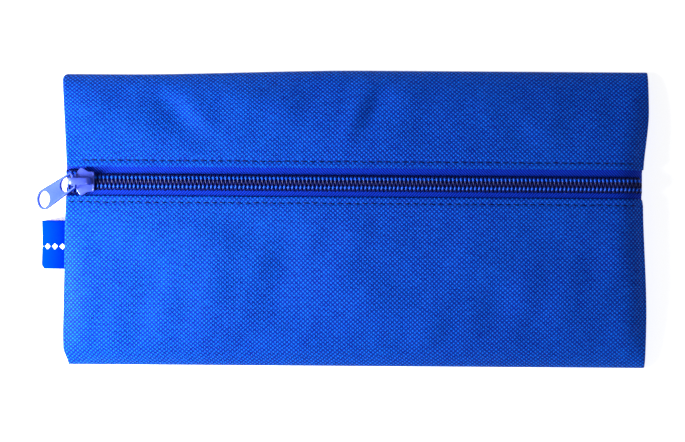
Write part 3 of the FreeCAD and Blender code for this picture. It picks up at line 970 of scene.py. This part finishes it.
arch = smooth_path([(-97.3, 10.9), (-97.35, 12.4), (-97.9, 13.9), (-99.2, 14.5),
                    (-103.4, 14.6), (-104.75, 14.3), (-105.05, 12.6), (-104.9, 10.9)], 7)
share = np.linspace(0, 1, len(arch))
wide = 2.9 - 0.6 * smooth(share / 0.9)
deep = 0.95 + 0 * share
ends = np.minimum(1, np.minimum(share, 1 - share) / 0.02)
bridge_mesh = strands_mesh("slider_bridge", sweep(arch, wide * ends, deep * ends) * MM)
bridge = piece("slider_bridge", bridge_mesh, LACQUER, "slider")


def bar_across(name, x, z, half, radius):
    """A rounded bar along Y, for the slider's raised rear lip."""
    s = np.linspace(-1, 1, 25)
    path = np.stack([x + 0 * s, ZIP_Y + half * s, z + 0 * s], axis=-1)[None]
    size = radius * (1 - np.abs(s) ** 12)[None]
    return piece(name, strands_mesh(name, tube(path, size, 14) * MM), LACQUER, "slider")


bar_across("slider_rear_lip", -96.42, 11.02, 3.6, 0.36)


def wall(name, side):
    """A side wall between the plates, following the shield's flank."""
    flank = np.array([(-96.5, 3.15), (-98.0, 3.2), (-98.9, 3.5),
                      (-99.8, 4.1), (-100.7, 4.55), (-101.5, 4.45)])
    outline = np.vstack([flank + (0, 0.32), (flank - (0, 0.32))[::-1]])
    outline[:, 1] = ZIP_Y + side * outline[:, 1]
    return piece(name, plate_mesh(name, [rounded(outline, 4)], 8.7, 10.6, 0.12), LACQUER, "slider")


for name, side in (("slider_wall_upper", 1), ("slider_wall_lower", -1)):
    wall(name, side)
print("slider length and width in mm", np.round(np.ptp(shield, axis=0), 2))

# %% [markdown]
# ## The pull tab
# The tab is a stamped plate: a window near its narrow end takes the bridge, the strip beyond
# it is the bar that turns under the bridge, and the wide end has a round hole for a finger
# nail or a cord. It hangs over the left edge, so it is turned about its bar.

# %% Pull tab
PIVOT = Vector((-103.2, 14.2, 12.85))
TILT, SLEW = 35.0, 25.0
TAB_LENGTH, FAR_RADIUS, NEAR_HALF = 21.0, 3.9, 3.15
HOLE_RADIUS = 3.1
HALF_THICK = 0.5


def tab_outline():
    """A narrow stepped end at the bar and a half circle at the far end."""
    tip = TAB_LENGTH - FAR_RADIUS
    near = np.array([(-1.2, NEAR_HALF), (-0.4, NEAR_HALF - 0.1), (0.25, 1.9), (0.5, 1.0),
                     (0.5, -1.0), (0.25, -1.9), (-0.4, 0.1 - NEAR_HALF), (-1.2, -NEAR_HALF)])
    round_end = arc((-tip, 0), FAR_RADIUS, 270, 90, 40)
    return np.vstack([near, round_end])


def tab_window():
    """The window that the bridge goes through: square at the bar and round at the far side."""
    half = 2.6
    below, above = [(-0.55, -half + 0.3), (-0.8, -half)], [(-0.8, half), (-0.55, half - 0.3)]
    return np.vstack([below, arc((-4.8, 0), half, 270, 90, 24), above])


hole = arc((-(TAB_LENGTH - FAR_RADIUS), 0), HOLE_RADIUS, 0, 352.5, 48)
outlines = [tab_outline(), tab_window(), hole]
tab_mesh = plate_mesh("pull_tab_plate", outlines, -HALF_THICK, HALF_THICK, 0.16)
turn = Matrix.Rotation(math.radians(-TILT), 4, "Y") @ Matrix.Rotation(math.radians(SLEW), 4, "Z")
tab_mesh.transform(Matrix.Translation(PIVOT * MM) @ turn)
tab = piece("pull_tab_plate", tab_mesh, TAB_LACQUER, "tab")
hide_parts("pull_tab")
print("tab", len(tab_mesh.polygons), "faces, tilted", TILT, "and turned", SLEW, "degrees")

# %% [markdown]
# ## The label
# A satin ribbon is folded in two and both ends are caught in the left seam. Its outside is
# royal blue and its inside is the white back of the ribbon. A row of plain diamonds is woven
# in as decoration.

# %% Label


def label_finish():
    """Satin: fine ribs both ways. A diamond shows where the distance along and across from its
    middle add up to less than 1.15 mm. The blue is painted lighter the further the ribbon runs
    from the seam, out towards its fold, and darker in the grooves between ribs: painted light
    and painted shade."""
    f = Finish("satin_ribbon", Specular_IOR_Level=0.0)
    uv = f.uv()
    x, y = f.parts(uv)
    rib = (x / (0.16 * MM)).math("FRACT") - 0.5
    weft = (y / (0.12 * MM)).math("FRACT") - 0.5
    fibre = f.noise(uv, 2500.0, 2.0, (2.0, 0.4, 1.0))
    # painted shade: height darkens the grooves between ribs
    height = 1.0 - rib * rib * 2.4 - weft * weft * 1.2
    # painted light: the ribbon grows lighter the further it runs from the seam
    painted_light_from_seam = x / (9.0 * MM) - 0.6
    shade = height * 0.6 + fibre * 0.4 + painted_light_from_seam * 0.7
    blue = f.mix(shade, (0.0, 0.002, 0.40, 1.0), (0.0, 0.040, 0.95, 1.0))
    along = ((x / (2.9 * MM)).math("FRACT") - 0.5).math("ABSOLUTE") * 2.9
    across = ((y + 10.6 * MM) / MM).math("ABSOLUTE")
    mark = (across + along).math("LESS_THAN", 1.15)
    f.feed("Base Color", f.mix(mark, blue, (0.80, 0.86, 0.95, 1.0)))
    f.feed("Roughness", 0.42 + fibre * 0.2)
    f.bump(height + fibre * 0.4, 0.05 * MM, 0.6)
    return f.material


def label_back_finish():
    """The ribbon's uncoloured back, with ribs across it. The back is white, and its grey colour,
    darker still at the edges of each rib, is painted shade.
    """
    f = Finish("ribbon_back", Roughness=0.6)
    uv = f.uv()
    x = f.parts(uv)[0]
    rib = (x / (0.16 * MM)).math("FRACT") - 0.5
    fibre = f.noise(uv, 2500.0, 2.0)
    # painted shade: grey for the white back, darkest in the grooves between ribs
    shade = rib * rib * 3.0 + fibre * 0.3
    f.feed("Base Color", f.mix(shade, (0.34, 0.33, 0.40, 1.0), (0.16, 0.15, 0.24, 1.0)))
    f.feed("Roughness", 0.5 + fibre * 0.2)
    f.bump(rib * rib + fibre, 0.04 * MM, 0.6)
    return f.material


def label_points():
    """Ribbon loop: s goes down the front leaf from the seam, round a half circle of 0.42 mm and
    back to the seam. x = seam - 8.9 out, z falls by 1.5 out^1.6, and the sides curl up."""
    s = np.linspace(0, 1, 46)
    half_turn = np.clip((s - 0.44) / 0.12, 0, 1) * np.pi
    out = np.where(s < 0.5, np.clip(s / 0.44, 0, 1), np.clip((1 - s) / 0.44, 0, 1))
    x = -107.4 - 8.9 * out - 0.42 * np.sin(half_turn)
    z = 5.0 - 1.5 * out ** 1.6 + 0.42 * np.cos(half_turn)
    across = np.linspace(-19.0, -1.0, 28)
    width, _ = np.meshgrid(across, s, indexing="ij")
    skew = 1.25 * smooth((s - 0.5) / 0.4)
    y = width + skew[None, :]
    curl = 0.25 * np.sin((width + 4) / 3.1) * out[None, :] + 0.35 * out[None, :] * ((width + 10) / 9) ** 2
    lag = 1.1 * np.exp(-((width + 19.0) / 0.8) ** 2)
    points = np.stack([x[None, :] + lag * out[None, :], y, z[None, :] + curl], axis=-1)
    distance = np.concatenate([[0], np.cumsum(np.hypot(np.diff(x), np.diff(z)))])
    uv = np.stack([distance[None, :] + 0 * width, width], axis=-1) * MM
    return points, uv


ribbon, ribbon_uv = label_points()
label_mesh = grid_mesh("label_ribbon", ribbon * MM, ribbon_uv, flip=True)
label = piece("label_ribbon", label_mesh, label_finish(), "case", 0.28 * MM)
label.data.materials.append(label_back_finish())
label.modifiers["thickness"].material_offset = 1
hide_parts("label_loop")
print("label box in mm", np.round(ribbon.min((0, 1)), 1), np.round(ribbon.max((0, 1)), 1))

# %% [markdown]
# ## Inside the pouch
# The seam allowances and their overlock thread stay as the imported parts, which are already
# the right strips. They show only when the zip is open, and get the canvas and thread looks.

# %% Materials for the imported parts


def inner_canvas():
    """The weave seen from inside: darker, flatter, and placed by the object's own axes."""
    f = Finish("canvas_inside", Roughness=0.75)
    place = f.place()
    x, y = f.parts(place)
    fu = (x / THREAD_X).math("FRACT") - 0.5
    fv = (y / THREAD_Y).math("FRACT") - 0.5
    height = 1.0 - fu * fu * 2.0 - fv * fv * 2.0
    fibre = f.noise(place, 2200.0, 2.0)
    # painted light and shade: height lightens the thread tops and darkens the grooves
    f.feed("Base Color", f.mix(height * 0.7 + fibre * 0.3, (0.0, 0.012, 0.22, 1.0), (0.0, 0.08, 0.60, 1.0)))
    f.feed("Roughness", 0.7 + fibre * 0.15)
    f.bump(height + fibre * 0.4, 0.12 * MM, 0.8)
    return f.material


INSIDE = inner_canvas()
for node, material in (("seam_allowance_left", INSIDE), ("seam_allowance_right", INSIDE),
                       ("overlock_thread_left", THREAD), ("overlock_thread_right", THREAD)):
    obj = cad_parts[node]
    obj.data.materials.clear()
    obj.data.materials.append(material)
    print(node, "keeps its packed mesh of", len(obj.data.polygons), "faces")

# %% [markdown]
# ## The floor
# The case lies on a table, so a wide pale sheet is laid just under it to catch its shadow.

# %% Floor
FLOOR_HALF = 3
FLOOR_Z = -0.0001


def floor_finish():
    """Nearly even pale grey, with a faint cloudiness."""
    f = Finish("pale_table", Roughness=0.6, Emission_Color=(1.0, 1.0, 1.0, 1.0),
               Emission_Strength=0.62)
    grain = f.noise(f.place(), 30.0, 3.0)
    f.feed("Base Color", f.mix(grain, (0.86, 0.87, 0.88, 1.0), (0.90, 0.90, 0.91, 1.0)))
    return f.material


floor_line = np.linspace(-FLOOR_HALF, FLOOR_HALF, 5)
floor_points = np.stack(np.meshgrid(floor_line, floor_line), axis=-1)
floor_points = np.concatenate([floor_points, np.full((5, 5, 1), FLOOR_Z)], axis=-1)
floor = bpy.data.objects.new("floor", grid_mesh("floor", floor_points))
floor.data.materials.append(floor_finish())
scene.collection.objects.link(floor)
print("floor", 2 * FLOOR_HALF, "m wide")
